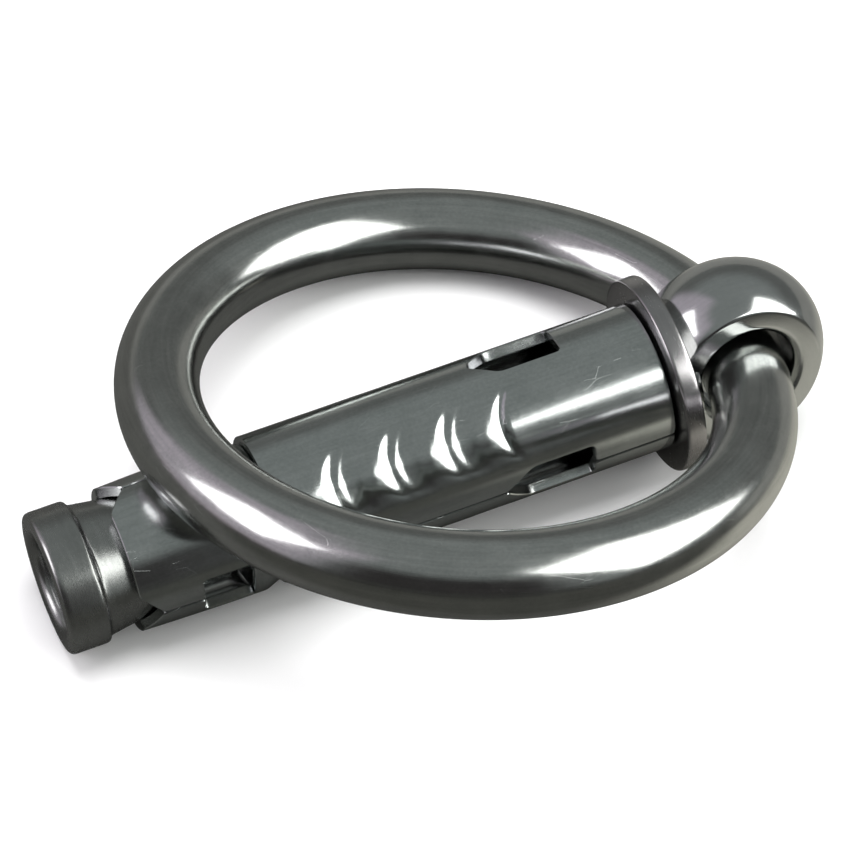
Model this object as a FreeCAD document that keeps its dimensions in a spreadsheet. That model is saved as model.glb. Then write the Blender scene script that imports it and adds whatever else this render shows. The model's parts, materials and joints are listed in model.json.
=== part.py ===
import FreeCAD, Part
import math
import os
import Sketcher

# Roof anchor: a welded ring hangs in the forged eye of a bolt, and the bolt draws a cone nut into
# a slotted expansion sleeve behind a rolled spacer sleeve.
#
# Every piece is built in the anchor frame: X runs along the bolt from the centre of the eye to
# the tip, Y is the axis of the hole in the eye, and Z points to the side on which the ring lies.
# One placement then lays the whole anchor down as it rests on a flat surface: on the rims of the
# washer and of the cone nut, with the far side of the ring as its third foot.  Millimetres.

Vector = FreeCAD.Vector
Rotation = FreeCAD.Rotation
Placement = FreeCAD.Placement

DIMENSIONS = (
    ("ring_radius", 35.0, "centre line of the welded ring"),
    ("wire_radius", 5.0, "ring wire"),
    ("ring_gap", 0.3, "air between the lying ring and the sleeve"),
    ("head_radius", 11.5, "outside of the eye"),
    ("head_reach", 9.8, "half width that the eye's round would have without its flat faces"),
    ("head_offset", 0.6, "how far the eye's round stands to one side of the bolt's axis"),
    ("eye_face", 6.2, "half width of the eye, between its flat faces"),
    ("eye_radius", 6.0, "hole in the eye"),
    ("eye_chamfer", 0.9, "chamfer on both ends of the hole"),
    ("bearing_face", 8.05, "eye centre to the face that bears on the washer"),
    ("collar_radius", 7.4, "collar under the eye"),
    ("collar_top", 6.3, "eye centre to the top of the collar"),
    ("stud_radius", 6.0, "M12 stud"),
    ("stud_end", 85.4, "eye centre to the end of the stud"),
    ("stud_chamfer", 0.8, "chamfer on the end of the stud"),
    ("washer_radius", 12.0, "M12 washer, outside"),
    ("washer_hole", 6.5, "M12 washer, hole"),
    ("washer_thickness", 2.45, "M12 washer"),
    ("washer_gap", 0.05, "air between the eye and the loose washer"),
    ("washer_drop", 0.44, "how far the loose washer hangs off centre"),
    ("washer_chamfer", 0.25, "broken edges of the washer"),
    ("sleeve_radius", 9.0, "outside of both sleeves, for an 18 mm hole"),
    ("wall", 1.3, "sheet that both sleeves are rolled from"),
    ("spacer_start", 10.9, "eye centre to the spacer sleeve"),
    ("spacer_end", 60.0, "eye centre to the joint between the sleeves"),
    ("seam_width", 0.25, "open seam of the rolled spacer sleeve"),
    ("window_start", 21.2, "eye centre to the square end of a window"),
    ("window_shoulder", 29.1, "eye centre to where a window begins to narrow"),
    ("window_point", 32.1, "eye centre to the point of a window"),
    ("window_width", 5.8, "width of a window"),
    ("point_width", 0.8, "width left at the point of a window"),
    ("dent_first", 30.9, "eye centre to the first pressed dent"),
    ("dent_pitch", 7.1, "spacing of the dents"),
    ("dent_depth", 0.85, "depth of a dent"),
    ("punch_radius", 3.5, "radius of the punch that pressed the dents"),
    ("punch_length", 12.0, "length of that punch"),
    ("shoulder_radius", 8.1, "rolled-in end of the expansion sleeve"),
    ("shoulder_end", 62.4, "eye centre to the end of the rolled-in taper"),
    ("guide_end", 61.2, "eye centre to the end of the bore that guides the stud"),
    ("guide_radius", 6.08, "bore that guides the stud"),
    ("root", 64.2, "eye centre to the line where the leaves bend"),
    ("root_gap", 0.1, "half of the gap that stands for the bend"),
    ("leaf_end", 77.8, "eye centre to the ends of the leaves"),
    ("leaf_tip_radius", 8.7, "outside of a leaf at its end"),
    ("leaf_angle", 118.0, "angle that one leaf covers between its closed slits"),
    ("slot_end", 70.2, "eye centre to the end of the wide slot between two leaves"),
    ("slot_width", 6.1, "width of that slot"),
    ("mouth_start", 75.2, "eye centre to the bottom of the V between two leaves"),
    ("mouth_end", 78.3, "eye centre to where the V has its full width"),
    ("mouth_width", 8.4, "full width of the V"),
    ("nut_face", 81.6, "eye centre to the inner face of the cone nut's rim"),
    ("nut_end", 86.6, "eye centre to the outer face of the cone nut"),
    ("nut_radius", 8.65, "rim of the cone nut"),
    ("rim_round", 0.6, "rounding of the rim's outer edge"),
    ("rim_chamfer", 0.2, "broken inner edge of the rim"),
    ("neck_radius", 8.0, "large end of the cone"),
    ("cone_end", 74.4, "eye centre to the small end of the cone"),
    ("cone_radius", 6.92, "small end of the cone"),
    ("bore_radius", 6.05, "bore of the cone nut over the stud"),
    ("bore_flare", 0.7, "countersink at the mouth of that bore"),
    ("row_angle", 41.8, "angle of the first row of dents, from Y to Z"),
)

ALIASES = {alias for alias, value, meaning in DIMENSIONS}
LEAVES = 3
DENTS_IN_ROW = 4
STEP = 360.0 / LEAVES
CUT_REACH = "14"
AXIS_X = Vector(1, 0, 0)
AXIS_Y = Vector(0, 1, 0)
AXIS_Z = Vector(0, 0, 1)
ALONG_X = Rotation(AXIS_Y, 90)
ALONG_Y = Rotation(AXIS_X, -90)

doc = FreeCAD.newDocument("roof_anchor")
sheet = doc.addObject("Spreadsheet::Sheet", "Dims")
for line, (alias, value, meaning) in enumerate(DIMENSIONS, start=1):
    sheet.set("A%d" % line, meaning)
    sheet.set("B%d" % line, str(value))
    sheet.setAlias("B%d" % line, alias)
doc.recompute()


def size(total):
    """Value of a sum of driving dimensions, such as 'root + root_gap'."""
    value = 0.0
    sign = 1.0
    for word in total.split():
        if word in "+-":
            sign = 1.0 if word == "+" else -1.0
        elif word in ALIASES:
            value += sign * float(sheet.get(word))
        else:
            value += sign * float(word)
    return value


def formula(text):
    """The same text as an expression that reads the sheet."""
    return " ".join("Dims." + word if word in ALIASES else word for word in text.split())


def primitive(kind, name, rotation=None, **sizes):
    """A Part primitive whose sizes and X, Y, Z position are bound to the sheet."""
    item = doc.addObject("Part::" + kind, name)
    item.Placement = Placement(Vector(0, 0, 0), rotation or Rotation())
    for key, text in sizes.items():
        place = "Placement.Base." + key.lower() if key in ("X", "Y", "Z") else key
        item.setExpression(place, formula(text))
    return item


def between(start, end):
    """The length from one sum of dimensions to another."""
    return "%s - ( %s )" % (end, start)


def bar(name, radius, start, end):
    """A round bar on the bolt's axis."""
    return primitive("Cylinder", name, ALONG_X, Radius=radius, Height=between(start, end), X=start)


def tapered(name, start, start_radius, end, end_radius):
    """A tapered bar on the bolt's axis."""
    return primitive("Cone", name, ALONG_X, X=start, Height=between(start, end),
                     Radius1=start_radius, Radius2=end_radius)


def slab(name, start, end, width):
    """A cutting block that reaches from the bolt's axis out along Z."""
    return primitive("Box", name, X=start, Y="- " + width + " / 2", Z="0",
                     Length=between(start, end), Width=width, Height=CUT_REACH)


def arrow(name, start, start_width, end, end_width):
    """A cutting block like slab's, whose width changes from one end to the other."""
    return primitive("Wedge", name, Rotation(AXIS_Z, -90), X=start,
                     Ymin="0", Ymax=between(start, end),
                     Xmin="- " + start_width + " / 2", Xmax=start_width + " / 2",
                     X2min="- " + end_width + " / 2", X2max=end_width + " / 2",
                     Zmin="0", Zmax=CUT_REACH, Z2min="0", Z2max=CUT_REACH)


def united(name, pieces, turn=0.0):
    """Several solids as one, turned about the bolt's axis."""
    item = doc.addObject("Part::MultiFuse", name)
    item.Shapes = pieces
    item.Placement = Placement(Vector(0, 0, 0), Rotation(AXIS_X, turn))
    return item


def cut(name, base, tool):
    """One solid less another."""
    item = doc.addObject("Part::Cut", name)
    item.Base = base
    item.Tool = tool
    return item


def own_sketch(body, plane):
    """A sketch on one of the body's own origin planes."""
    sketch = body.newObject("Sketcher::SketchObject", body.Name + "_outline")
    for feature in body.Origin.OriginFeatures:
        if feature.Role == plane:
            sketch.AttachmentSupport = [(feature, "")]
    sketch.MapMode = "FlatFace"
    return sketch


def turned(name, corners):
    """A body turned about the bolt's axis: corners are (depth, radius) sums, in order."""
    body = doc.addObject("PartDesign::Body", name)
    sketch = own_sketch(body, "XZ_Plane")
    points = [Vector(size(depth), size(radius), 0) for depth, radius in corners]
    for i, point in enumerate(points):
        sketch.addGeometry(Part.LineSegment(point, points[(i + 1) % len(points)]), False)
    for i, (depth, radius) in enumerate(corners):
        sketch.addConstraint(Sketcher.Constraint("Coincident", i, 2, (i + 1) % len(corners), 1))
        across = sketch.addConstraint(Sketcher.Constraint("DistanceX", -1, 1, i, 1, points[i].x))
        sketch.setExpression("Constraints[%d]" % across, formula(depth))
        up = sketch.addConstraint(Sketcher.Constraint("DistanceY", -1, 1, i, 1, points[i].y))
        sketch.setExpression("Constraints[%d]" % up, formula(radius))
    turning = body.newObject("PartDesign::Revolution", name + "_turning")
    turning.Profile = sketch
    turning.ReferenceAxis = (sketch, ["H_Axis"])
    turning.Angle = 360.0
    return body


# ---- welded ring -------------------------------------------------------------------------------

def build_ring():
    """A closed ring of round wire, still square to Z and centred on the eye."""
    return primitive("Torus", "ring", Radius1="ring_radius", Radius2="wire_radius")


# ---- eye bolt: eye, collar and stud forged in one ----------------------------------------------

def build_eye_bolt():
    rounded = primitive("Ellipsoid", "eye_round", ALONG_Y, Radius1="head_reach",
                        Radius2="head_radius", Radius3="head_radius", Y="head_offset")
    faced = primitive("Box", "eye_faces", X="- head_radius", Y="head_offset - eye_face",
                      Z="- head_radius", Length="2 * head_radius", Width="2 * eye_face",
                      Height="2 * head_radius")
    head = doc.addObject("Part::Common", "eye_head")
    head.Base, head.Tool = rounded, faced
    hole = primitive("Cylinder", "eye_hole", ALONG_Y, Radius="eye_radius",
                     Height="2 * eye_face", Y="head_offset - eye_face")
    flares = []
    for side, turn in (("left", -90), ("right", 90)):
        away = "+" if side == "left" else "-"
        start = "head_offset %s ( eye_face - eye_chamfer )" % away
        flares.append(primitive("Cone", "eye_flare_" + side, Rotation(AXIS_X, turn), Y=start,
                                Radius1="eye_radius", Radius2="eye_radius + eye_chamfer",
                                Height="eye_chamfer"))
    beyond = primitive("Box", "beyond_bearing_face", X="bearing_face", Y="- head_radius",
                       Z="- head_radius", Length="head_radius", Width="2 * head_radius",
                       Height="2 * head_radius")
    eye = cut("eye", head, united("eye_cuts", [hole] + flares + [beyond]))
    collar = bar("collar", "collar_radius", "collar_top", "bearing_face")
    stud = bar("stud", "stud_radius", "collar_top", "stud_end - stud_chamfer")
    point = tapered("stud_point", "stud_end - stud_chamfer", "stud_radius", "stud_end",
                    "stud_radius - stud_chamfer")
    return united("eye_bolt", [eye, collar, stud, point])


# ---- washer ------------------------------------------------------------------------------------

def build_washer():
    """The washer, with its eye side at the origin."""
    body = doc.addObject("PartDesign::Body", "washer")
    sketch = own_sketch(body, "YZ_Plane")
    for number, alias in enumerate(("washer_radius", "washer_hole")):
        sketch.addGeometry(Part.Circle(Vector(0, 0, 0), AXIS_Z, size(alias)), False)
        sketch.addConstraint(Sketcher.Constraint("Coincident", number, 3, -1, 1))
        radius = sketch.addConstraint(Sketcher.Constraint("Radius", number, size(alias)))
        sketch.setExpression("Constraints[%d]" % radius, formula(alias))
    pad = body.newObject("PartDesign::Pad", "washer_pad")
    pad.Profile = sketch
    pad.setExpression("Length", formula("washer_thickness"))
    doc.recompute()
    rims = ["Edge%d" % number for number, edge in enumerate(pad.Shape.Edges, start=1)
            if isinstance(edge.Curve, Part.Circle) and edge.Curve.Radius > size("washer_hole")
            and edge.isClosed()]
    edges = body.newObject("PartDesign::Chamfer", "washer_rim")
    edges.Base = (pad, rims)
    edges.setExpression("Size", formula("washer_chamfer"))
    return body


# ---- spacer sleeve -----------------------------------------------------------------------------

def dent_row(name, radius, turn):
    """One row of punches across the sleeve; all their axes lie the same distance out."""
    punches = []
    for number in range(DENTS_IN_ROW):
        punches.append(primitive(
            "Cylinder", "%s_%d" % (name, number + 1), ALONG_Y, Radius=radius,
            Height="punch_length", X="dent_first + %d * dent_pitch" % number,
            Y="- punch_length / 2", Z="sleeve_radius - dent_depth + punch_radius"))
    return united(name, punches, turn)


def build_spacer():
    """A rolled tube with three arrow-shaped windows, three rows of dents and an open seam."""
    turns = [size("row_angle") - 90.0 + number * STEP for number in range(LEAVES)]
    outer_rows = [dent_row("punch_row_%d" % number, "punch_radius", turn)
                  for number, turn in enumerate(turns, start=1)]
    inner_rows = [dent_row("bulge_row_%d" % number, "punch_radius + wall", turn)
                  for number, turn in enumerate(turns, start=1)]
    skin = cut("spacer_skin", bar("spacer_bar", "sleeve_radius", "spacer_start", "spacer_end"),
               united("punch_rows", outer_rows))
    core = cut("spacer_core", bar("spacer_bore", "sleeve_radius - wall", "spacer_start",
                                  "spacer_end"), united("bulge_rows", inner_rows))
    windows = []
    for number, turn in enumerate(turns, start=1):
        square = slab("window_square_%d" % number, "window_start", "window_shoulder",
                      "window_width")
        point = arrow("window_point_%d" % number, "window_shoulder", "window_width",
                      "window_point", "point_width")
        openings = [square, point]
        if number == LEAVES:
            openings.append(slab("seam", "spacer_start", "spacer_end", "seam_width"))
        windows.append(united("window_%d" % number, openings, turn + STEP / 2))
    return cut("spacer_sleeve", cut("spacer_tube", skin, core), united("windows", windows))


# ---- expansion sleeve: collar and leaves -------------------------------------------------------

def build_collar():
    """The unslit end of the expansion sleeve; its rolled-in end guides the stud."""
    return turned("expansion_collar", (
        ("spacer_end", "guide_radius"),
        ("guide_end", "guide_radius"),
        ("shoulder_end", "sleeve_radius - wall"),
        ("root - root_gap", "sleeve_radius - wall"),
        ("root - root_gap", "sleeve_radius"),
        ("shoulder_end", "sleeve_radius"),
        ("spacer_end", "shoulder_radius"),
    ))


def build_leaf(number):
    """One leaf of the expansion sleeve, pointing along Z."""
    tag = "_%d" % number
    centred = ALONG_X * Rotation(AXIS_Z, 180.0 - size("leaf_angle") / 2)
    sector = primitive("Cone", "leaf_sector" + tag, centred, X="root + root_gap",
                       Height="leaf_end - root - root_gap", Radius1="sleeve_radius",
                       Radius2="leaf_tip_radius", Angle="leaf_angle")
    cuts = [bar("leaf_bore" + tag, "sleeve_radius - wall", "root", "mouth_end")]
    for side, turn in (("left", -STEP / 2), ("right", STEP / 2)):
        slot = slab("slot_" + side + tag, "root", "slot_end", "slot_width")
        mouth = arrow("mouth_" + side + tag, "mouth_start", "seam_width", "mouth_end",
                      "mouth_width")
        cuts.append(united("leaf_edge_" + side + tag, [slot, mouth], turn))
    return cut("expansion_leaf" + tag, sector, united("leaf_cuts" + tag, cuts))


# ---- cone nut ----------------------------------------------------------------------------------

def build_cone_nut():
    return turned("cone_nut", (
        ("nut_end", "bore_radius + bore_flare"),
        ("nut_end", "nut_radius - rim_round"),
        ("nut_end - rim_chamfer", "nut_radius - rim_chamfer"),
        ("nut_end - rim_round", "nut_radius"),
        ("nut_face + rim_chamfer", "nut_radius"),
        ("nut_face", "nut_radius - rim_chamfer"),
        ("nut_face", "neck_radius"),
        ("cone_end", "cone_radius"),
        ("cone_end", "bore_radius"),
        ("nut_end - bore_flare", "bore_radius"),
    ))


# ---- how the anchor lies -----------------------------------------------------------------------

def lowest_of_ring(centre, normal, up):
    """Height of the ring's lowest point over the eye's centre, for the direction that is up."""
    across = math.sqrt(1.0 - normal.dot(up) ** 2)
    return centre.dot(up) - size("ring_radius") * across - size("wire_radius")


def ring_place(angle):
    """Centre and normal of the ring when its far side is swung by an angle from the X axis."""
    centre = Vector(math.cos(angle), 0, math.sin(angle)) * size("ring_radius")
    normal = Vector(-math.sin(angle), 0, math.cos(angle))
    return centre, normal


def up_direction(pitch, roll):
    """The direction that is up, in the anchor frame."""
    return Vector(-math.sin(pitch), math.cos(pitch) * math.sin(roll),
                  math.cos(pitch) * math.cos(roll))


def halve(low, high, test):
    """The place between low and high where a test turns from false to true."""
    for _ in range(60):
        middle = (low + high) / 2
        if test(middle):
            high = middle
        else:
            low = middle
    return (low + high) / 2


reach_of_washer = size("washer_radius + washer_drop")
washer_foot = size("bearing_face + washer_gap + washer_thickness - washer_chamfer")
nut_foot = size("nut_end - rim_round")
pitch = math.atan((reach_of_washer - size("nut_radius")) / (nut_foot - washer_foot))
eye_height = reach_of_washer * math.cos(pitch) + washer_foot * math.sin(pitch)
lie_angle = math.asin(size("sleeve_radius + wire_radius + ring_gap") / size("ring_radius") / 2)
ring_centre, ring_normal = ring_place(lie_angle)
roll = halve(0.0, math.radians(60), lambda angle: eye_height + lowest_of_ring(
    ring_centre, ring_normal, up_direction(pitch, angle)) < 0)
up = up_direction(pitch, roll)
swing_limit = halve(math.radians(90), math.radians(200), lambda angle: eye_height
                    + lowest_of_ring(*ring_place(lie_angle + angle), up) < 0)
lying = (Rotation(AXIS_Y, -math.degrees(pitch)) * Rotation(AXIS_X, -math.degrees(roll))
         * Rotation(AXIS_Z, 180))

# ---- the pieces, each with its place in the anchor frame ---------------------------------------

here = Placement()
pieces = {
    "ring": (build_ring(), Placement(ring_centre, Rotation(AXIS_Y, -math.degrees(lie_angle)))),
    "eye_bolt": (build_eye_bolt(), here),
    "washer": (build_washer(), Placement(
        Vector(size("bearing_face + washer_gap"), -size("washer_drop") * math.sin(roll),
               -size("washer_drop") * math.cos(roll)), Rotation())),
    "spacer_sleeve": (build_spacer(), here),
    "expansion_collar": (build_collar(), here),
    "cone_nut": (build_cone_nut(), here),
}
for number in range(LEAVES):
    leaf_turn = Rotation(AXIS_X, size("row_angle") - 90.0 + number * STEP)
    pieces["expansion_leaf_%d" % (number + 1)] = (
        build_leaf(number + 1), Placement(Vector(0, 0, 0), leaf_turn))


def check_states():
    """Stop if any object of the document failed to recompute."""
    for item in doc.Objects:
        if "Invalid" in item.State or "Error" in item.State:
            raise RuntimeError("%s did not recompute: %s" % (item.Name, item.State))


def place_all(origin):
    """Lay every piece down, with the model's origin at a point given from the eye's centre."""
    for name, (item, place) in pieces.items():
        item.Label = name
        item.Placement = Placement(-origin, lying) * place
    doc.recompute()


place_all(Vector(0, 0, 0))
check_states()
box = FreeCAD.BoundBox()
for item, place in pieces.values():
    box.add(item.Shape.optimalBoundingBox(False, False))
place_all(Vector(box.Center.x, box.Center.y, box.ZMin))

# ---- checks and files --------------------------------------------------------------------------

check_states()
os.makedirs("parts", exist_ok=True)
for name, (item, place) in pieces.items():
    if item.Shape.isNull() or not item.Shape.isValid():
        raise RuntimeError("%s has no valid shape" % name)
    if len(item.Shape.Solids) != 1:
        raise RuntimeError("%s is %d solids" % (name, len(item.Shape.Solids)))
    item.Shape.exportStep("parts/%s.step" % name)
    print("%-20s %9.1f mm3" % (name, item.Shape.Volume))
print("pitch %.3f  roll %.3f  ring lies at %.3f degrees" % (
    math.degrees(pitch), math.degrees(roll), math.degrees(lie_angle)))
print("ring swings up to %.2f degrees before it meets the surface" % math.degrees(swing_limit))
print("eye centre at", -box.Center.x, -box.Center.y, -box.ZMin, " height by formula", eye_height)
print("size", box.XLength, box.YLength, box.ZLength)
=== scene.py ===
import json
import math

import bmesh
import bpy
import numpy as np
from mathutils import Matrix, Vector
from mathutils.geometry import delaunay_2d_cdt


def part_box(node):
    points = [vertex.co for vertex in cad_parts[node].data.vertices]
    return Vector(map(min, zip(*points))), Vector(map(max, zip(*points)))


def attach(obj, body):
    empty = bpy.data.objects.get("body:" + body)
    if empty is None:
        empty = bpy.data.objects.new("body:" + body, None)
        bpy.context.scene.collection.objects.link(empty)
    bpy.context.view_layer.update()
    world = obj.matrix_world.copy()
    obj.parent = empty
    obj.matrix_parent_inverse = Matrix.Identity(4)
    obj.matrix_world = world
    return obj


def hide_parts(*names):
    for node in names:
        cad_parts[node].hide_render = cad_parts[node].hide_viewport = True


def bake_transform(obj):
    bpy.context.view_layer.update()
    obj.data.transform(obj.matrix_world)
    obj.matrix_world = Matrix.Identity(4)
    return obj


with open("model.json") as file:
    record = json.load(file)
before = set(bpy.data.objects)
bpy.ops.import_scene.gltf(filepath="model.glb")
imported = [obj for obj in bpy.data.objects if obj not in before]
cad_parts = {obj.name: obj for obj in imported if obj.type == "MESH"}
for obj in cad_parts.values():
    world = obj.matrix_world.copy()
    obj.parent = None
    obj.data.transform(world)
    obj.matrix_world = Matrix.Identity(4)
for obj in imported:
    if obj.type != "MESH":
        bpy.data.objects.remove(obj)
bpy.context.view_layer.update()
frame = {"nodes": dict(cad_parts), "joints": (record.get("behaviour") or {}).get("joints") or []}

# ---- the anchor frame --------------------------------------------------------------------------
# Shapes are made in the anchor frame, in millimetres: X along the bolt from the centre of the eye
# to the tip, Y along the hole in the eye, Z to the side on which the ring lies.

MM = 0.001
joints = {joint["name"]: joint for joint in frame["joints"]}
eye = Vector(joints["bolt_turn"]["pos_m"])
tipward = Vector(joints["bolt_turn"]["axis"]).normalized()
across = -Vector(joints["ring_swing"]["axis"]).normalized()
axes = Matrix((tipward, across, tipward.cross(across))).transposed().to_4x4()
ANCHOR = Matrix.Translation(eye) @ axes @ Matrix.Scale(MM, 4)


def in_anchor(points):
    """Points of the row frame, in metres, as millimetres in the anchor frame."""
    back = np.array(ANCHOR.inverted())
    return np.asarray(points, float) @ back[:3, :3].T + back[:3, 3]


def reach(node):
    """Where a CAD node starts and ends along the bolt, and its largest radius about it."""
    points = in_anchor([v.co for v in frame["nodes"][node].data.vertices])
    return points[:, 0].min(), points[:, 0].max(), np.hypot(points[:, 1], points[:, 2]).max()


def angle_of(body):
    """The direction in which a leaf bends outwards, from Y to Z, in radians."""
    hinge = in_anchor([joints[body + "_bend"]["pos_m"]])[0]
    return math.atan2(hinge[2], hinge[1])


WALL = 1.3                      # sheet of both sleeves
FULL_TURN = 2 * math.pi
THIRD = FULL_TURN / 3
rows = [angle_of("leaf_%d" % number) for number in (1, 2, 3)]


# ---- meshes ------------------------------------------------------------------------------------

def mesh_object(name, points, faces, grain, sharp=33.0):
    """An object from anchor-frame points; grain is a coordinate whose X runs along the streaks."""
    mesh = bpy.data.meshes.new(name)
    place = np.array(ANCHOR)
    world = np.asarray(points, float) @ place[:3, :3].T + place[:3, 3]
    mesh.from_pydata(world.tolist(), [], [tuple(int(i) for i in face) for face in faces])
    attribute = mesh.attributes.new("grain", "FLOAT_VECTOR", "POINT")
    attribute.data.foreach_set("vector", np.asarray(grain, np.float32).ravel())
    mesh.update()
    work = bmesh.new()
    work.from_mesh(mesh)
    bmesh.ops.recalc_face_normals(work, faces=work.faces)
    work.to_mesh(mesh)
    work.free()
    mesh.polygons.foreach_set("use_smooth", [True] * len(mesh.polygons))
    mesh.set_sharp_from_angle(angle=math.radians(sharp))
    item = bpy.data.objects.new(name, mesh)
    bpy.context.scene.collection.objects.link(item)
    return item


def densify(path, step, closed=True):
    """The same polyline with points at most a step apart."""
    ends = path[1:] + path[:1] if closed else path[1:]
    dense = []
    for start, end in zip(path, ends):
        start, end = np.array(start, float), np.array(end, float)
        parts = max(1, int(math.ceil(np.linalg.norm(end - start) / step)))
        dense += [start + (end - start) * part / parts for part in range(parts)]
    if not closed:
        dense.append(np.array(path[-1], float))
    return np.array(dense)


def thin_out(points, tolerance):
    """Douglas-Peucker: the points that a polyline needs to stay within a tolerance."""
    keep = np.zeros(len(points), bool)
    keep[[0, -1]] = True
    stack = [(0, len(points) - 1)]
    while stack:
        first, last = stack.pop()
        if last - first < 2:
            continue
        chord = points[last] - points[first]
        length = max(np.linalg.norm(chord), 1e-9)
        offset = points[first + 1:last] - points[first]
        away = np.abs(chord[0] * offset[:, 1] - chord[1] * offset[:, 0]) / length
        if length < 1e-6:
            away = np.linalg.norm(offset, axis=1)
        worst = int(away.argmax())
        if away[worst] > tolerance:
            middle = first + 1 + worst
            keep[middle] = True
            stack += [(first, middle), (middle, last)]
    return points[keep]


def softened(path, radius, closed=True, tolerance=0.003):
    """A polyline with every corner rounded to about a radius."""
    step = radius / 6
    dense = densify(path, step, closed)
    # Walk the outline at even steps, so that the averaging rounds all corners alike.
    loop = np.vstack([dense, dense[:1]]) if closed else dense
    lengths = np.concatenate([[0], np.cumsum(np.linalg.norm(np.diff(loop, axis=0), axis=1))])
    places = np.linspace(0, lengths[-1], int(lengths[-1] / step) + 1)
    even = np.stack([np.interp(places, lengths, loop[:, axis]) for axis in (0, 1)], 1)
    reach_of_window = 4
    for _ in range(4):
        if closed:
            body = even[:-1]
            padded = np.vstack([body[-reach_of_window:], body, body[:reach_of_window]])
        else:
            padded = np.vstack([2 * even[0] - even[reach_of_window:0:-1], even,
                                2 * even[-1] - even[-2:-reach_of_window - 2:-1]])
        window = np.ones(2 * reach_of_window + 1) / (2 * reach_of_window + 1)
        even = np.stack([np.convolve(padded[:, axis], window, "valid") for axis in (0, 1)], 1)
        if closed:
            even = np.vstack([even, even[:1]])
    thinned = thin_out(even, tolerance)
    return thinned[:-1] if closed else thinned


def turned(name, outline, closed=True, segments=160, around=(1, 0, 0), sharp=40.0):
    """A body turned about an axis: outline is (along, radius) in millimetres."""
    angles = np.arange(segments) * FULL_TURN / segments
    count = len(outline)
    along, radius = outline[:, 0], outline[:, 1]
    rings = []
    for angle in angles:
        if around[0]:
            rings.append(np.stack([along, radius * math.cos(angle), radius * math.sin(angle)], 1))
        else:
            rings.append(np.stack([radius * math.cos(angle), along, radius * math.sin(angle)], 1))
    points = np.vstack(rings)
    grain = np.vstack([np.stack([np.full(count, 1.5 * math.cos(angle)),
                                 along, radius + 1.5 * math.sin(angle)], 1) for angle in angles])
    faces = []
    for segment in range(segments):
        here, there = segment * count, (segment + 1) % segments * count
        for i in range(count if closed else count - 1):
            after = (i + 1) % count
            faces.append((here + i, here + after, there + after, there + i))
    item = mesh_object(name, points, faces, grain, sharp)
    if not closed:
        work = bmesh.new()
        work.from_mesh(item.data)
        bmesh.ops.remove_doubles(work, verts=work.verts, dist=0.001 * MM)
        work.to_mesh(item.data)
        work.free()
    return item


def inside_of(points, loop):
    """Which points lie inside a closed loop."""
    inside = np.zeros(len(points), bool)
    for start, end in zip(loop, np.roll(loop, -1, axis=0)):
        crosses = (start[1] > points[:, 1]) != (end[1] > points[:, 1])
        rise = end[1] - start[1]
        at = start[0] + (points[:, 1] - start[1]) * (end[0] - start[0]) / (rise if rise else 1)
        inside ^= crosses & (points[:, 0] < at)
    return inside


def clearance(points, loop):
    """Distance of each point from a closed loop of short segments."""
    least = np.full(len(points), 1e9)
    for corner in loop:
        least = np.minimum(least, np.hypot(points[:, 0] - corner[0], points[:, 1] - corner[1]))
    return least


def inset(loop, distance):
    """A closed loop moved towards the material on its left."""
    before, after = np.roll(loop, 1, axis=0), np.roll(loop, -1, axis=0)
    ahead = after - before
    ahead /= np.linalg.norm(ahead, axis=1)[:, None]
    return loop + np.stack([-ahead[:, 1], ahead[:, 0]], 1) * distance


def area_of(loop):
    after = np.roll(loop, -1, axis=0)
    return 0.5 * float(np.sum(loop[:, 0] * after[:, 1] - after[:, 0] * loop[:, 1]))


EDGE_BREAK = 0.12               # broken edge of the cut sheet
FIELD_MARGIN = 0.55             # steps that the inner points of a sheet keep from its edges
ROLLING_STRETCH = 0.06          # the rolling streaks run along the sleeve, so the grain is drawn out


def sheet_loops(outline, holes, step):
    """The outline and the holes at even steps, each with the sheet on its left."""
    loops = []
    for number, loop in enumerate([outline] + holes):
        dense = densify([tuple(point) for point in loop], step)
        if (area_of(dense) > 0) != (number == 0):
            dense = dense[::-1]
        loops.append(dense)
    return loops


def on_sheet(points, loops):
    """Which points lie within the outline and outside the holes."""
    inside = inside_of(points, loops[0])
    for hole in loops[1:]:
        inside &= ~inside_of(points, hole)
    return inside


def sheet_field(loops, inner_loops, step):
    """A square grid of points on the sheet, clear of its edges."""
    low, high = loops[0].min(0), loops[0].max(0)
    columns = np.arange(low[0] + step / 2, high[0], step)
    lines = np.arange(low[1] + step / 2, high[1], step)
    field = np.stack(np.meshgrid(columns, lines, indexing="ij"), -1).reshape(-1, 2)
    field = field[on_sheet(field, loops)]
    for loop in inner_loops:
        field = field[clearance(field, loop) > FIELD_MARGIN * step]
    return field


def triangulated(loops, inner_loops, field):
    """Points and triangles of the flat sheet, and which given points each point stands for."""
    flat, edges = [], []
    for loop in loops + inner_loops:
        first = len(flat)
        flat += [tuple(point) for point in loop]
        edges += [(first + i, first + (i + 1) % len(loop)) for i in range(len(loop))]
    flat += [tuple(point) for point in field]
    made = delaunay_2d_cdt([Vector(point) for point in flat], edges, [], 0, 1e-7)
    points = np.array([tuple(point) for point in made[0]])
    triangles = np.array([face for face in made[2] if len(face) == 3])
    triangles = triangles[on_sheet(points[triangles].mean(1), loops)]
    return points, triangles, made[3]


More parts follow.
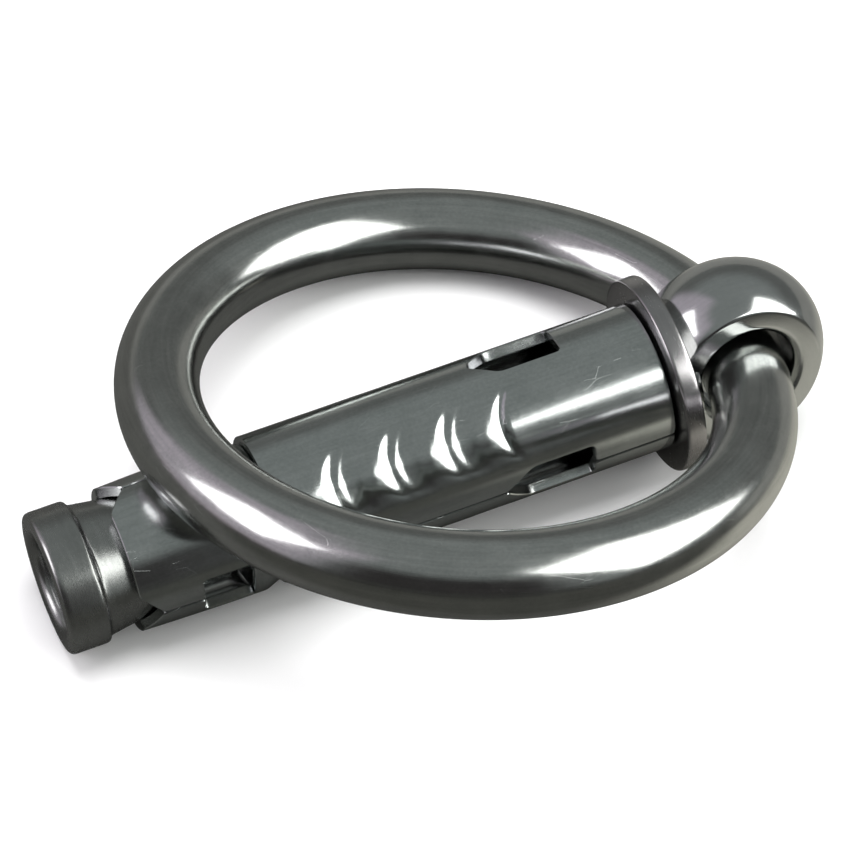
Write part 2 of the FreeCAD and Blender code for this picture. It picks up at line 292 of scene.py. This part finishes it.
def rolled_sheet(name, outline, holes, surface, step):
    """A sheet with holes, cut flat in (depth, arc) millimetres and rolled up.

    surface(depth, arc, below) gives the anchor-frame points that lie some way below the outside.
    """
    loops = sheet_loops(outline, holes, step)
    inner_loops = [inset(loop, EDGE_BREAK) for loop in loops]
    field = sheet_field(loops, inner_loops, step)
    flat, triangles, origins = triangulated(loops, inner_loops, field)
    place_of = {i: index for index, origin in enumerate(origins) for i in origin}
    rim_count = sum(len(loop) for loop in loops)
    on_rim = np.array([any(i < rim_count for i in origin) for origin in origins])
    depth, arc = flat[:, 0], flat[:, 1]
    outside = surface(depth, arc, np.where(on_rim, EDGE_BREAK, 0.0))
    inside_face = surface(depth, arc, np.where(on_rim, WALL - EDGE_BREAK, WALL))
    count = len(flat)
    faces = [tuple(face) for face in triangles]
    faces += [tuple(int(i) + count for i in reversed(face)) for face in triangles]
    first = 0
    for loop in loops:
        for i in range(len(loop)):
            a = place_of[first + i]
            b = place_of[first + (i + 1) % len(loop)]
            faces.append((b, a, a + count, b + count))
        first += len(loop)
    grain = np.stack([depth * ROLLING_STRETCH, arc, np.zeros(count)], 1)
    grain = np.vstack([grain, grain + (0, 0, 5.0)])
    return mesh_object(name, np.vstack([outside, inside_face]), faces, grain)


def rolled(radius_at, start_angle, unit_radius):
    """The surface of a rolled sheet, for rolled_sheet."""
    def surface(depth, arc, below):
        angle = start_angle + arc / unit_radius
        radius = radius_at(depth, angle) - below
        return np.stack([depth, radius * np.cos(angle), radius * np.sin(angle)], 1)
    return surface


# ---- ring --------------------------------------------------------------------------------------

def make_ring():
    low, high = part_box("ring")
    centre = Vector(in_anchor([(low + high) / 2])[0])
    radius = centre.length
    outward = centre.normalized()
    normal = outward.cross(Vector((0, 1, 0)))
    offsets = in_anchor([v.co for v in frame["nodes"]["ring"].data.vertices]) - np.array(centre)
    wire = float(np.abs(offsets @ np.array(normal)).max())
    around_count, wire_count = 360, 72
    points, grain = [], []
    for i in range(around_count):
        angle = FULL_TURN * i / around_count
        spoke = Vector((0, 1, 0)) * math.sin(angle) - outward * math.cos(angle)
        for j in range(wire_count):
            turn = FULL_TURN * j / wire_count
            up, out = wire * math.sin(turn), wire * math.cos(turn)
            points.append(centre + spoke * (radius + out) + normal * up)
            grain.append((radius * angle * 0.05, up, out))
    faces = []
    for i in range(around_count):
        for j in range(wire_count):
            i_next, j_next = (i + 1) % around_count, (j + 1) % wire_count
            faces.append((i * wire_count + j, i_next * wire_count + j,
                          i_next * wire_count + j_next, i * wire_count + j_next))
    return mesh_object("ring_wire", [tuple(point) for point in points], faces, grain)


# ---- eye bolt ----------------------------------------------------------------------------------

HEAD_REACH = 9.8                # half width that the head's round would have without its faces
HEAD_OFFSET = 0.6               # how far the head's round stands to the near side
EYE_FACE, EYE_CHAMFER = 5.95, 0.75
EYE_RADIUS = 6.0
BEARING_FACE, COLLAR_TOP = 8.05, 6.3
COLLAR_RADIUS = 7.4
THREAD_PITCH, THREAD_DEPTH = 1.75, 1.0
STUD_RADIUS = 6.0
THREAD_START = 12.5


def head_outline():
    """The eye's section, (along Y, radius about Y): an ellipsoid with two flat faces."""
    head_radius = -in_anchor([v.co for v in frame["nodes"]["eye_bolt"].data.vertices])[:, 0].min()
    turn = math.asin(EYE_FACE / HEAD_REACH)
    arc = [(HEAD_REACH * math.sin(angle), head_radius * math.cos(angle))
           for angle in np.linspace(turn, -turn, 48)]
    land = EYE_FACE - EYE_CHAMFER
    mouth = EYE_RADIUS + EYE_CHAMFER
    hole = [(-EYE_FACE, mouth), (-land, EYE_RADIUS), (land, EYE_RADIUS), (EYE_FACE, mouth)]
    return [(along + HEAD_OFFSET, radius) for along, radius in hole + arc]


def make_eye_head():
    item = turned("eye_head", softened(head_outline(), 0.25), segments=224, around=(0, 1, 0))
    work = bmesh.new()
    work.from_mesh(item.data)
    face_point = ANCHOR @ Vector((BEARING_FACE, 0, 0))
    cut = bmesh.ops.bisect_plane(work, geom=work.verts[:] + work.edges[:] + work.faces[:],
                                 plane_co=face_point, plane_no=tipward, clear_outer=True)
    rim = [e for e in cut["geom_cut"] if isinstance(e, bmesh.types.BMEdge)]
    bmesh.ops.holes_fill(work, edges=rim)
    bmesh.ops.recalc_face_normals(work, faces=work.faces)
    work.to_mesh(item.data)
    work.free()
    item.data.set_sharp_from_angle(angle=math.radians(40))
    return item


def make_stud():
    """The collar and the threaded stud, as one turned shape with a helical thread."""
    end = reach("eye_bolt")[1]
    neck = [(COLLAR_TOP, 0.0), (COLLAR_TOP, COLLAR_RADIUS), (BEARING_FACE, COLLAR_RADIUS),
            (BEARING_FACE, STUD_RADIUS), (THREAD_START, STUD_RADIUS)]
    smooth = softened(neck, 0.3, closed=False)
    segments = 96
    steps = np.arange(THREAD_START + 0.05, end - 0.05, THREAD_PITCH / 10)
    profile_place = (0.0, 0.08, 0.42, 0.58, 0.92, 1.0)
    profile_depth = (0.0, 0.0, 1.0, 1.0, 0.0, 0.0)
    points, grain, faces = [], [], []
    for segment in range(segments):
        angle = FULL_TURN * segment / segments
        phase = (steps / THREAD_PITCH - segment / segments) % 1.0
        run_in = np.clip((steps - THREAD_START) / THREAD_PITCH, 0, 1)
        taper = np.clip((steps - end + 0.8) / 0.8, 0, 1)
        deep = np.interp(phase, profile_place, profile_depth) * THREAD_DEPTH * run_in
        radius = np.minimum(STUD_RADIUS - deep, STUD_RADIUS - 0.8 * taper)
        along = np.concatenate([smooth[:, 0], steps, [end, end]])
        radii = np.concatenate([smooth[:, 1], radius, [STUD_RADIUS - THREAD_DEPTH, 0.0]])
        points.append(np.stack([along, radii * math.cos(angle), radii * math.sin(angle)], 1))
        grain.append(np.stack([np.full(len(along), 1.5 * math.cos(angle)), along,
                               radii + 1.5 * math.sin(angle)], 1))
    count = len(points[0])
    for segment in range(segments):
        here, there = segment * count, (segment + 1) % segments * count
        faces += [(here + i, here + i + 1, there + i + 1, there + i) for i in range(count - 1)]
    item = mesh_object("bolt_stud", np.vstack(points), faces, np.vstack(grain), sharp=30.0)
    work = bmesh.new()
    work.from_mesh(item.data)
    bmesh.ops.remove_doubles(work, verts=work.verts, dist=0.0005 * MM)
    work.to_mesh(item.data)
    work.free()
    return item


# ---- washer and cone nut -----------------------------------------------------------------------

def make_washer():
    """The washer hangs a little off the bolt's axis, so it is turned about its own middle."""
    points = in_anchor([v.co for v in frame["nodes"]["washer"].data.vertices])
    low, high = points.min(0), points.max(0)
    radius = (high[1] - low[1]) / 2
    hole = 6.5
    outline = [(low[0], hole), (low[0], radius), (high[0], radius), (high[0], hole)]
    item = turned("washer_disc", softened(outline, 0.3))
    shift = Vector((0, (low[1] + high[1]) / 2, (low[2] + high[2]) / 2))
    item.data.transform(Matrix.Translation(ANCHOR.to_3x3() @ shift))
    return item


def make_cone_nut():
    start, end, radius = reach("cone_nut")
    rim, neck, cone_radius, bore = 81.6, 8.0, 6.92, 6.05
    countersink, rim_break = 0.7, 0.35
    outline = [(end, bore + countersink), (end, radius - rim_break), (end - rim_break, radius),
               (rim, radius), (rim, neck), (start, cone_radius), (start, bore),
               (end - countersink, bore)]
    return turned("nut_turned", softened(outline, 0.4))


# ---- sleeves -----------------------------------------------------------------------------------

SEAM = 0.22
WINDOW_START, WINDOW_SHOULDER, WINDOW_POINT = 21.2, 29.1, 32.1
WINDOW_WIDTH, POINT_WIDTH = 5.8, 0.9
DENTS, DENT_FIRST, DENT_PITCH = 4, 31.5, 7.1
# Depth of the pressed teeth, by distance from the bottom of a tooth towards the tip.
TOOTH_PLACES = (0.0, 0.9, 2.0, 3.4, 4.2, 5.6, 6.1, 7.1)
TOOTH_DEPTHS = (0.38, 0.06, 0.0, 0.12, 0.32, 0.42, 0.30, 0.38)
TOOTH_CREST = 2.0               # the last tooth ends here, past its own bottom
TOOTH_WALL = 0.6                # the first tooth drops from the round within this length
TOOTH_HALF, TOOTH_FADE = 0.38, 0.25     # half width of a row and of its border, about the bolt
TOOTH_BOW, TOOTH_LEAN = 7.0, -0.08      # the creases bow to the eye on both sides of this turn


def tooth_depth(depth):
    """How deep a row of teeth is pressed in, at depths along the sleeve."""
    along = depth - DENT_FIRST
    pressed = np.interp(along % DENT_PITCH, TOOTH_PLACES, TOOTH_DEPTHS)
    entry = np.interp(along, (-TOOTH_WALL, 0), (0, TOOTH_DEPTHS[0]))
    pressed = np.where(along < 0, entry, pressed)
    return np.where(along > (DENTS - 1) * DENT_PITCH + TOOTH_CREST, 0, pressed)


def dented_radius(radius):
    """Radius of the spacer sleeve, with three rows of teeth pressed into it."""
    def radius_at(depth, angle):
        result = np.full(len(depth), radius)
        for row in rows:
            turn = (angle - row + math.pi) % FULL_TURN - math.pi
            bowed = depth + TOOTH_BOW * (turn - TOOTH_LEAN) ** 2
            rounded = sum(tooth_depth(bowed + shift) for shift in (-0.25, -0.12, 0, 0.12, 0.25)) / 5
            share = np.clip((TOOTH_HALF + TOOTH_FADE - np.abs(turn)) / (2 * TOOTH_FADE), 0, 1)
            result = result - rounded * share * share * (3 - 2 * share)
        return result
    return radius_at


def make_spacer():
    start, end, radius = reach("spacer_sleeve")
    seam_angle = rows[0] - THIRD / 2
    length = FULL_TURN * radius
    half, seam = WINDOW_WIDTH / 2, SEAM / 2
    side = [(WINDOW_START, seam), (WINDOW_START, half), (WINDOW_SHOULDER, half),
            (WINDOW_POINT, POINT_WIDTH / 2), (WINDOW_POINT, seam)]
    other = [(depth, length - arc) for depth, arc in reversed(side)]
    outline = ([(start, seam)] + side + [(end, seam), (end, length - seam)] + other
               + [(start, length - seam)])
    holes = []
    for number in (1, 2):
        middle = length * number / 3
        hole = [(depth, middle + arc) for depth, arc in side[1:4]]
        hole += [(depth, middle - arc) for depth, arc in reversed(side[1:4])]
        holes.append(softened(hole, 0.5, tolerance=0.01))
    soft = softened(outline, 0.5, tolerance=0.01)
    return rolled_sheet("spacer_sheet", soft, holes,
                        rolled(dented_radius(radius), seam_angle, radius), step=0.3)


LEAF_HALF, ROOT_HALF, MOUTH_HALF = 59.3, 39.8, 36.0
SLOT_END, MOUTH_START, LEAF_TIP_RADIUS = 70.2, 75.2, 8.7
LEAF_CURL = 1.6                 # above 1, a leaf leans in mostly near its tip


def make_leaf(number):
    """A leaf of the expansion sleeve, cut with a half slot, half slit and half V on each side."""
    _, end, radius = reach("expansion_leaf_%d" % number)
    collar_end = reach("expansion_collar")[1]
    unit = math.radians(1.0) * radius
    side = [(collar_end, ROOT_HALF), (SLOT_END, ROOT_HALF), (SLOT_END, LEAF_HALF),
            (MOUTH_START, LEAF_HALF), (end, MOUTH_HALF)]
    outline = [(depth, half * unit) for depth, half in side]
    outline += [(depth, -half * unit) for depth, half in reversed(side)]

    def radius_at(depth, angle):
        share = (depth - collar_end) / (end - collar_end)
        return radius + (LEAF_TIP_RADIUS - radius) * share ** LEAF_CURL
    return rolled_sheet("leaf_sheet_%d" % number, softened(outline, 0.35, tolerance=0.008), [],
                        rolled(radius_at, rows[number - 1], radius), step=0.4)


def make_collar():
    start, end, radius = reach("expansion_collar")
    taper_end, guide_end, guide_radius, shoulder = 62.4, 61.2, 6.08, 8.1
    outline = [(start, guide_radius), (guide_end, guide_radius), (taper_end, radius - WALL),
               (end, radius - WALL), (end, radius), (taper_end, radius), (start, shoulder)]
    return turned("collar_sheet", softened(outline, 0.25))


# ---- shader nodes ------------------------------------------------------------------------------

def add_node(tree, kind, **settings):
    """A node with some of its properties, or else of its inputs, set."""
    made = tree.nodes.new(kind)
    for key, value in settings.items():
        if hasattr(made, key):
            setattr(made, key, value)
        else:
            made.inputs[key].default_value = value
    return made


def calculate(tree, operation, *values, clamp=False):
    """The result of a Math node, from numbers or sockets."""
    made = add_node(tree, "ShaderNodeMath", operation=operation, use_clamp=clamp)
    for socket, value in zip(made.inputs, values):
        if isinstance(value, (int, float)):
            socket.default_value = value
        else:
            tree.links.new(value, socket)
    return made.outputs[0]


def noise(tree, vector, scale, detail):
    made = add_node(tree, "ShaderNodeTexNoise", Scale=scale, Detail=detail, Roughness=0.6)
    tree.links.new(vector, made.inputs["Vector"])
    return made.outputs["Fac"]


def centred(tree, value):
    """A noise, shifted so that it is as often below 0 as above it."""
    return calculate(tree, "SUBTRACT", value, 0.5)


def mix_colours(tree, share, first, second):
    """A colour between two others, each a socket or a colour."""
    mix = add_node(tree, "ShaderNodeMix", data_type="RGBA")
    tree.links.new(share, mix.inputs["Factor"])
    sockets = [socket for socket in mix.inputs if socket.type == "RGBA"]
    for socket, value in zip(sockets, (first, second)):
        if isinstance(value, tuple):
            socket.default_value = (*value, 1)
        else:
            tree.links.new(value, socket)
    return [socket for socket in mix.outputs if socket.type == "RGBA"][0]


def smooth_share(tree, value, start, end):
    """From 0 to 1 while a value goes from start to end."""
    made = tree.nodes.new("ShaderNodeMapRange")
    made.interpolation_type = "SMOOTHSTEP"
    made.inputs["From Min"].default_value = start
    made.inputs["From Max"].default_value = end
    tree.links.new(value, made.inputs["Value"])
    return made.outputs[0]


def reach_towards(tree, vector, azimuth):
    """How far a vector goes in a level direction; azimuth runs from +X to +Y."""
    made = add_node(tree, "ShaderNodeVectorMath", operation="DOT_PRODUCT")
    turn = math.radians(azimuth)
    made.inputs[1].default_value = (math.cos(turn), math.sin(turn), 0)
    tree.links.new(vector, made.inputs[0])
    return made.outputs["Value"]


# ---- materials ---------------------------------------------------------------------------------

def scratch_lines(tree, grain, place):
    """Thin edges of large stretched cells, kept only where a slow noise is high."""
    stretch = tree.nodes.new("ShaderNodeMapping")
    stretch.inputs["Scale"].default_value = (2.4, 0.45, 0.45)
    stretch.inputs["Rotation"].default_value = (0.3, 0.5, 0.9)
    tree.links.new(grain, stretch.inputs["Vector"])
    cells = add_node(tree, "ShaderNodeTexVoronoi", feature="DISTANCE_TO_EDGE", Scale=1.1)
    tree.links.new(stretch.outputs[0], cells.inputs["Vector"])
    line = calculate(tree, "LESS_THAN", cells.outputs["Distance"], 0.006)
    where = calculate(tree, "GREATER_THAN", noise(tree, place, 180.0, 1.0), 0.62)
    return calculate(tree, "MULTIPLY", line, where)


def steel(name, dark, light, rough, rough_spread, streaks, speckle, scratches, bump):
    """Stainless steel with streaks along the grain, a fine speckle and a few scratches."""
    material = bpy.data.materials.new(name)
    material.use_nodes = True
    tree = material.node_tree
    shader = tree.nodes["Principled BSDF"]
    shader.inputs["Metallic"].default_value = 1.0
    grain = add_node(tree, "ShaderNodeAttribute", attribute_name="grain").outputs["Vector"]
    place = tree.nodes.new("ShaderNodeTexCoord").outputs["Object"]
    fine_streak = noise(tree, grain, 9.0, 3.0)
    wide_streak = noise(tree, grain, 1.6, 2.0)
    mottle = noise(tree, place, 260.0, 3.0)
    grit = noise(tree, place, 2600.0, 2.0)
    scratch = calculate(tree, "MULTIPLY", scratch_lines(tree, grain, place), scratches)

    tone = calculate(tree, "MULTIPLY_ADD", wide_streak, streaks, 0.5 - streaks / 2)
    tone = calculate(tree, "ADD", tone, calculate(tree, "MULTIPLY", centred(tree, mottle), 0.6))
    tone = calculate(tree, "ADD", tone, calculate(tree, "MULTIPLY", centred(tree, grit), speckle))
    tone = calculate(tree, "ADD", tone, scratch, clamp=True)
    tree.links.new(mix_colours(tree, tone, dark, light), shader.inputs["Base Color"])

    spread = calculate(tree, "ADD", centred(tree, fine_streak), centred(tree, mottle))
    spread = calculate(tree, "MULTIPLY", spread, rough_spread)
    tree.links.new(calculate(tree, "ADD", spread, rough, clamp=True), shader.inputs["Roughness"])

    height = calculate(tree, "ADD", fine_streak, calculate(tree, "MULTIPLY", grit, 0.5))
    height = calculate(tree, "SUBTRACT", height, calculate(tree, "MULTIPLY", scratch, 2.0))
    relief = add_node(tree, "ShaderNodeBump", Strength=1.0, Distance=bump)
    tree.links.new(height, relief.inputs["Height"])
    tree.links.new(relief.outputs[0], shader.inputs["Normal"])
    return material


def finish_piece(item, material, slot, body, *replaced):
    item.data.materials.clear()
    item.data.materials.append(material)
    if body:
        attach(item, body)
    if replaced:
        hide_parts(*replaced)
    return item


ring_steel = steel("ring_steel", (0.34, 0.355, 0.345), (0.60, 0.61, 0.595), 0.17, 0.12, 0.8, 0.5,
                   0.25, 0.000004)
head_steel = steel("head_steel", (0.40, 0.415, 0.41), (0.60, 0.615, 0.61), 0.14, 0.06, 0.4, 0.25,
                   0.2, 0.0000015)
sleeve_steel = steel("sleeve_steel", (0.38, 0.41, 0.40), (0.62, 0.64, 0.635), 0.15, 0.12, 0.6, 0.6,
                     0.35, 0.0000035)
washer_steel = steel("washer_steel", (0.31, 0.30, 0.31), (0.50, 0.49, 0.49), 0.25, 0.1, 0.5, 0.2,
                     0.2, 0.000003)
nut_steel = steel("nut_steel", (0.26, 0.27, 0.26), (0.44, 0.45, 0.44), 0.26, 0.10, 0.7, 0.4,
                  0.2, 0.000003)

finish_piece(make_ring(), ring_steel, "ring_steel", "ring", "ring")
finish_piece(make_eye_head(), head_steel, "bolt_steel", "bolt", "eye_bolt")
finish_piece(make_stud(), head_steel, "bolt_steel", "bolt", "eye_bolt")
finish_piece(make_washer(), washer_steel, "washer_steel", "washer", "washer")
finish_piece(make_spacer(), sleeve_steel, "sleeve_steel", "shield", "spacer_sleeve")
finish_piece(make_collar(), sleeve_steel, "sleeve_steel", "shield", "expansion_collar")
finish_piece(make_cone_nut(), nut_steel, "nut_steel", "cone", "cone_nut")
for number in (1, 2, 3):
    leaf = finish_piece(make_leaf(number), sleeve_steel, "sleeve_steel", None,
                        "expansion_leaf_%d" % number)
    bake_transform(leaf)


# ---- floor, light and camera -------------------------------------------------------------------

FLOOR_PAPER = (0.93, 0.93, 0.93)
# Painted shade: the floor's tone as reflections see it, darker than the paper that the camera sees.
FLOOR_REFLECTED_SHADE = (0.085, 0.085, 0.08)
# Painted light and painted shade on the floor, seen only in reflections: azimuth (from +X to +Y),
# where the tone starts and is full, in metres, and the tone.
FLOOR_PAINTED_LIGHT_AND_SHADE = (
    (-20, 0.015, 0.06, (0.34, 0.33, 0.29)),
    (-20, 0.085, 0.13, (0.05, 0.05, 0.048)),
    (40, 0.03, 0.08, (0.17, 0.17, 0.16)),
    (-105, 0.03, 0.06, (0.05, 0.05, 0.045)),
)
ROOM_TONE = (0.275, 0.295, 0.29)
# Azimuth and half width, lowest and highest elevation, softness of the border, and the tone.
ROOM_PARTS = (
    (60, 60, -5, 25, 12, (0.16, 0.165, 0.16)),
    (-115, 38, -20, 48, 12, (0.045, 0.042, 0.042)),
    (-80, 75, -20, 6, 8, (0.07, 0.07, 0.066)),
    (165, 30, -30, 4, 8, (0.46, 0.36, 0.38)),
    (155, 45, 0, 66, 8, (0.55, 0.50, 0.56)),
)


def make_floor():
    """A pale floor; reflections see it in darker tones, a painted shade with patches of painted
    light and painted shade around the object.
    """
    half = 2.5
    mesh = bpy.data.meshes.new("floor")
    mesh.from_pydata([(-half, -half, 0), (half, -half, 0), (half, half, 0), (-half, half, 0)], [],
                     [(0, 1, 2, 3)])
    floor = bpy.data.objects.new("floor", mesh)
    bpy.context.scene.collection.objects.link(floor)
    paper = bpy.data.materials.new("floor_paper")
    paper.use_nodes = True
    tree = paper.node_tree
    shader = tree.nodes["Principled BSDF"]
    shader.inputs["Roughness"].default_value = 0.9
    shader.inputs["Specular IOR Level"].default_value = 0.0
    place = tree.nodes.new("ShaderNodeTexCoord").outputs["Object"]
    painted_floor_tone = FLOOR_REFLECTED_SHADE
    # Each patch lays painted light or painted shade over the floor tone that reflections see.
    for azimuth, start, end, tone in FLOOR_PAINTED_LIGHT_AND_SHADE:
        share = smooth_share(tree, reach_towards(tree, place, azimuth), start, end)
        painted_floor_tone = mix_colours(tree, share, painted_floor_tone, tone)
    # Reflections see the painted light and shade; camera and diffuse rays see the pale paper.
    reflected = tree.nodes.new("ShaderNodeLightPath").outputs["Is Glossy Ray"]
    colour = mix_colours(tree, reflected, FLOOR_PAPER, painted_floor_tone)
    tree.links.new(colour, shader.inputs["Base Color"])
    floor.data.materials.append(paper)


def softbox(name, azimuth, elevation, distance, width, height, power, tint=(1, 1, 1)):
    """A rectangular light in a direction seen from the object; azimuth runs from +X to +Y."""
    turn, rise = math.radians(azimuth), math.radians(elevation)
    away = Vector((math.cos(rise) * math.cos(turn), math.cos(rise) * math.sin(turn), math.sin(rise)))
    light = bpy.data.lights.new(name, "AREA")
    light.shape = "RECTANGLE"
    light.size = width
    light.size_y = height
    light.energy = power
    light.color = tint
    lamp = bpy.data.objects.new(name, light)
    lamp.location = away * distance
    lamp.rotation_euler = away.to_track_quat("Z", "Y").to_euler()
    bpy.context.scene.collection.objects.link(lamp)
    return lamp


def make_lights():
    """Two softboxes that the metal shows, and a light overhead that only whitens the floor."""
    softbox("key", -30, 38, 0.9, 0.88, 0.86, 8.6, (1.0, 1.0, 0.98))
    softbox("fill", 163, 36, 0.9, 0.6, 0.5, 3.0, (1.0, 0.97, 1.0))
    overhead = softbox("overhead", 90, 80, 1.5, 1.0, 1.0, 22)
    overhead.visible_glossy = False


def level_heading(tree, direction):
    """The level part of a direction, at length 1."""
    level = add_node(tree, "ShaderNodeVectorMath", operation="MULTIPLY")
    level.inputs[1].default_value = (1, 1, 0)
    tree.links.new(direction, level.inputs[0])
    heading = add_node(tree, "ShaderNodeVectorMath", operation="NORMALIZE")
    tree.links.new(level.outputs[0], heading.inputs[0])
    return heading.outputs[0]


def make_world():
    """The studio that the metal reflects: grey overhead, dark where the photographer stands."""
    world = bpy.data.worlds.new("studio")
    bpy.context.scene.world = world
    world.use_nodes = True
    tree = world.node_tree
    direction = tree.nodes.new("ShaderNodeTexCoord").outputs["Generated"]
    split = tree.nodes.new("ShaderNodeSeparateXYZ")
    tree.links.new(direction, split.inputs[0])
    heading = level_heading(tree, direction)
    colour = ROOM_TONE
    for azimuth, width, low, high, soft, tone in ROOM_PARTS:
        outer, inner = math.radians(width + soft), math.radians(max(width - soft, 0))
        share = smooth_share(tree, reach_towards(tree, heading, azimuth),
                             math.cos(outer), math.cos(inner))
        for edge, sign in ((low, 1), (high, -1)):
            start, end = (math.sin(math.radians(edge + sign * step)) for step in (-soft, soft))
            within = smooth_share(tree, split.outputs["Z"], start, end)
            share = calculate(tree, "MULTIPLY", share, within)
        colour = mix_colours(tree, share, colour, tone)
    background = tree.nodes["Background"]
    tree.links.new(colour, background.inputs["Color"])
    background.inputs["Strength"].default_value = 1.0


def make_camera():
    """A long lens from above the near side, as the object is usually photographed."""
    camera_data = bpy.data.cameras.new("camera")
    camera_data.lens = 184.35
    camera_data.sensor_width = 36.0
    camera_data.clip_start = 0.01
    camera = bpy.data.objects.new("camera", camera_data)
    azimuth, elevation, roll, distance = 28.052, 57.004, 6.275, 0.51520
    aim = Vector((0.00033, 0.00164, 0.010))
    turn, rise = math.radians(azimuth), math.radians(elevation)
    forward = Vector((math.sin(turn) * math.cos(rise), math.cos(turn) * math.cos(rise),
                      -math.sin(rise)))
    level = forward.cross(Vector((0, 0, 1))).normalized()
    above = level.cross(forward)
    tilt = math.radians(roll)
    right = level * math.cos(tilt) + above * math.sin(tilt)
    top = above * math.cos(tilt) - level * math.sin(tilt)
    camera.matrix_world = (Matrix.Translation(aim - forward * distance)
                           @ Matrix((right, top, -forward)).transposed().to_4x4())
    bpy.context.scene.collection.objects.link(camera)
    bpy.context.scene.camera = camera


make_floor()
make_world()
make_lights()
make_camera()
bpy.context.scene.view_settings.view_transform = "Standard"
